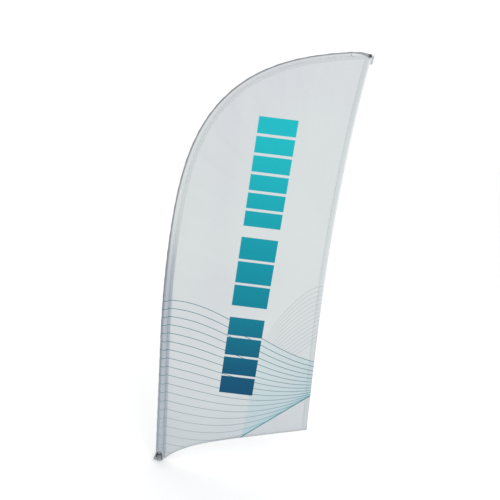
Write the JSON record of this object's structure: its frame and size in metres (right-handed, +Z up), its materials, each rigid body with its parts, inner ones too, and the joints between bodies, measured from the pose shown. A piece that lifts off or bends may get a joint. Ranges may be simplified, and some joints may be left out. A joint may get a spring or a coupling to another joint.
{
  "type": "feather flag with pole",
  "caption": "Tall curved flag of thin printed cloth, sleeved over a sprung sectional pole that bends over at the top.",
  "frame": {"origin": "centre of the pole's foot, where it fits over the spindle of a base", "axes": "+Z up along the straight lower pole, +X towards the flag's free edge, printed front facing -Y"},
  "size_m": [0.7122, 0.0678, 1.7827],
  "materials": {
    "printed_cloth": "satin polyester, printed through",
    "sleeve_cloth": "tightly woven polyester",
    "hem_cloth": "folded and stitched polyester",
    "pocket_cloth": "doubled, dark reinforcement cloth",
    "webbing": "narrow woven tape",
    "aluminium": "satin anodised tube",
    "fibreglass": "smooth pultruded fibreglass",
    "steel": "plain",
    "black_plastic": "moulded",
    "elastic": "braided over a rubber core"
  },
  "bodies": {
    "lower_pole": {"lower_tube": "aluminium", "foot_socket": "black_plastic"},
    "flag_and_upper_pole": {"flag_panel": "printed_cloth", "sleeve_cuff": "hem_cloth", "pole_sleeve": "sleeve_cloth", "sleeve_seam": "sleeve_cloth", "free_edge_hem": "hem_cloth", "bottom_hem": "hem_cloth", "mouth_binding": "hem_cloth", "tip_pocket": "pocket_cloth", "tip_tab": "webbing", "middle_tube": "aluminium", "stop_ring": "black_plastic", "upper_ferrule": "steel", "tip_ferrule": "steel", "snap_spring": "steel", "upper_tube": "fibreglass", "tip_rod": "fibreglass", "tip_cap": "black_plastic", "mouth_eyelet": "steel", "mouth_cord": "elastic", "cord_lock_body": "black_plastic", "cord_lock_spring": "steel", "cord_stop": "black_plastic"},
    "snap_button": {"snap_button": "steel"},
    "cord_lock_plunger": {"cord_lock_plunger": "black_plastic"}
  },
  "joints": [
    {"name": "section_pull", "type": "slide", "parent": "lower_pole", "child": "flag_and_upper_pole", "axis": [0, 0, 1], "range_m": [0, 0.07]},
    {"name": "snap_press", "type": "slide", "parent": "flag_and_upper_pole", "child": "snap_button", "axis": [0, -1, 0], "range_m": [0, 0.0032], "stiffness_N_per_m": 900, "springref_m": -0.0015, "deforming": ["snap_spring"]},
    {"name": "cord_lock_press", "type": "slide", "parent": "flag_and_upper_pole", "child": "cord_lock_plunger", "axis": [0, 0, -1], "range_m": [0, 0.003], "stiffness_N_per_m": 1200, "springref_m": -0.002, "deforming": ["cord_lock_spring"]}
  ]
}
